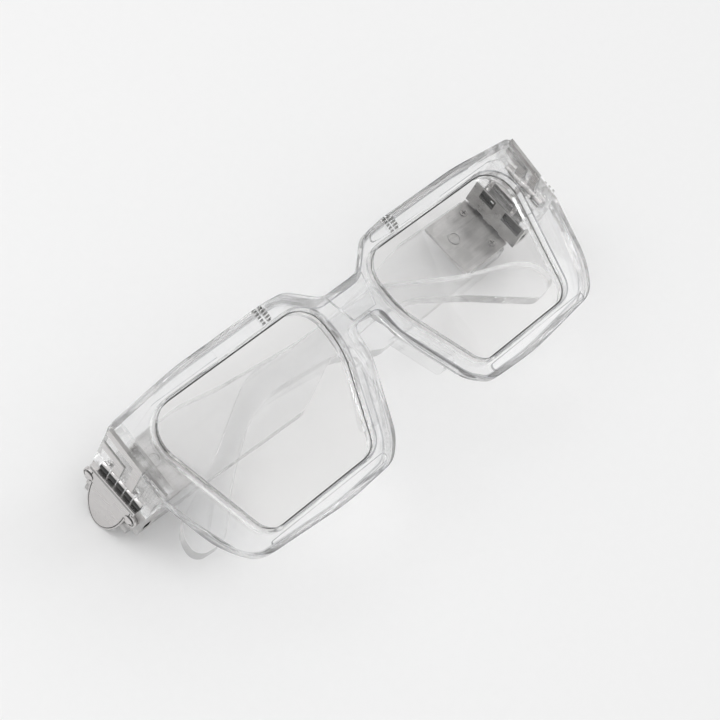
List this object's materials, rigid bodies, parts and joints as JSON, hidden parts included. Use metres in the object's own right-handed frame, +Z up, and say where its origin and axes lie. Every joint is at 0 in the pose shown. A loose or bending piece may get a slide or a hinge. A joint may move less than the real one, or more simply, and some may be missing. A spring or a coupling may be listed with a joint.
{
  "type": "eyeglasses",
  "caption": "Rectangular eyeglasses in thick clear acetate with clear lenses, faceted brow and chin bars, chevron inlays, metal hinge blocks with tongue-shaped side plates, and folded temples.",
  "frame": {"origin": "on the table, under the middle of the folded glasses' bounding box, lying on their back", "axes": "+X towards the wearer's left side, which is the viewer's right, along the width; +Y towards the brow; +Z up, the way the lenses face"},
  "size_m": [0.1478, 0.0498, 0.0412],
  "materials": {
    "clear_acetate": "polished, clear, water white",
    "clear_lens": "polished, clear, without tint",
    "polished_steel": "polished silver",
    "satin_nickel": "satin silver"
  },
  "bodies": {
    "front": {"front_frame": "clear_acetate", "lens_left": "clear_lens", "lens_right": "clear_lens", "nose_pad_left": "clear_acetate", "nose_pad_right": "clear_acetate", "outer_strip_left": "polished_steel", "outer_strip_right": "polished_steel", "inner_strip_left": "polished_steel", "inner_strip_right": "polished_steel", "knuckle_row_left": "polished_steel", "knuckle_row_right": "polished_steel", "side_plate_left": "polished_steel", "side_plate_right": "polished_steel", "side_screws_left": "polished_steel", "side_screws_right": "polished_steel", "hinge_block_left": "satin_nickel", "hinge_block_right": "satin_nickel", "block_screws_left": "polished_steel", "block_screws_right": "polished_steel", "hinge_pin_left": "polished_steel", "hinge_pin_right": "polished_steel"},
    "left_temple": {"temple_left": "clear_acetate", "hinge_plate_left": "satin_nickel", "plate_screws_left": "polished_steel"},
    "right_temple": {"temple_right": "clear_acetate", "hinge_plate_right": "satin_nickel", "plate_screws_right": "polished_steel"}
  },
  "joints": [
    {"name": "right_hinge", "type": "hinge", "parent": "front", "child": "right_temple", "pos_m": [0.07, 0.01513, 0.00672], "axis": [0, -0.9973, -0.0731], "range_deg": [0, 88.7]},
    {"name": "left_hinge", "type": "hinge", "parent": "front", "child": "left_temple", "pos_m": [-0.07, 0.01513, 0.00672], "axis": [0, 0.9973, 0.0731], "range_deg": [0, 2.2]}
  ]
}
